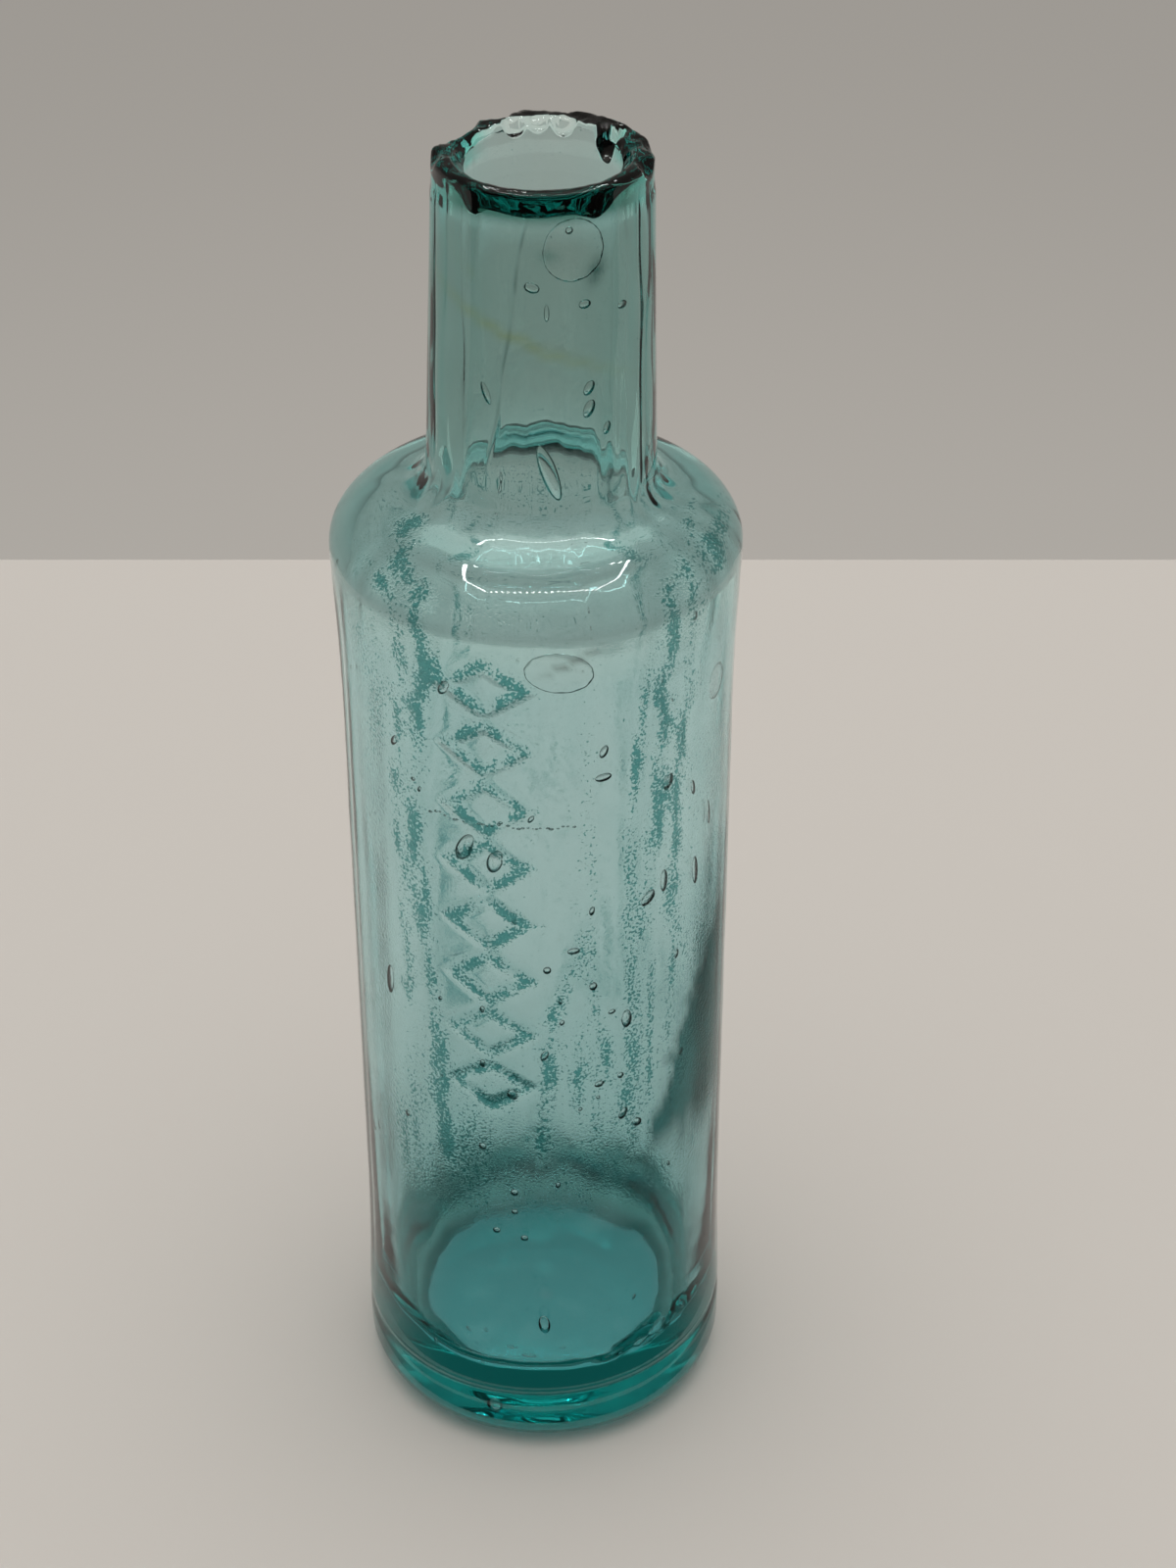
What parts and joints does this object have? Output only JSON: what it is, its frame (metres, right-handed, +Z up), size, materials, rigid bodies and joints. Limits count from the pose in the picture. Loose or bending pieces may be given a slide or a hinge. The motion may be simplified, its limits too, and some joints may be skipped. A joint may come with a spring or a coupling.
{
  "type": "poison bottle",
  "caption": "Round aqua glass bottle with a thick base, straight body, sloped shoulder, long thick neck and a rough burst-off lip.",
  "frame": {"origin": "centre of the foot, on the surface that the bottle stands on", "axes": "+Z up along the body's axis to the mouth, +X to the right and -Y towards the viewer of the front"},
  "size_m": [0.039, 0.039, 0.14],
  "materials": {
    "aqua_glass": "glossy clear aqua glass"
  },
  "bodies": {
    "root": {"base": "aqua_glass", "body": "aqua_glass", "shoulder": "aqua_glass", "neck": "aqua_glass", "lip": "aqua_glass"}
  },
  "joints": []
}
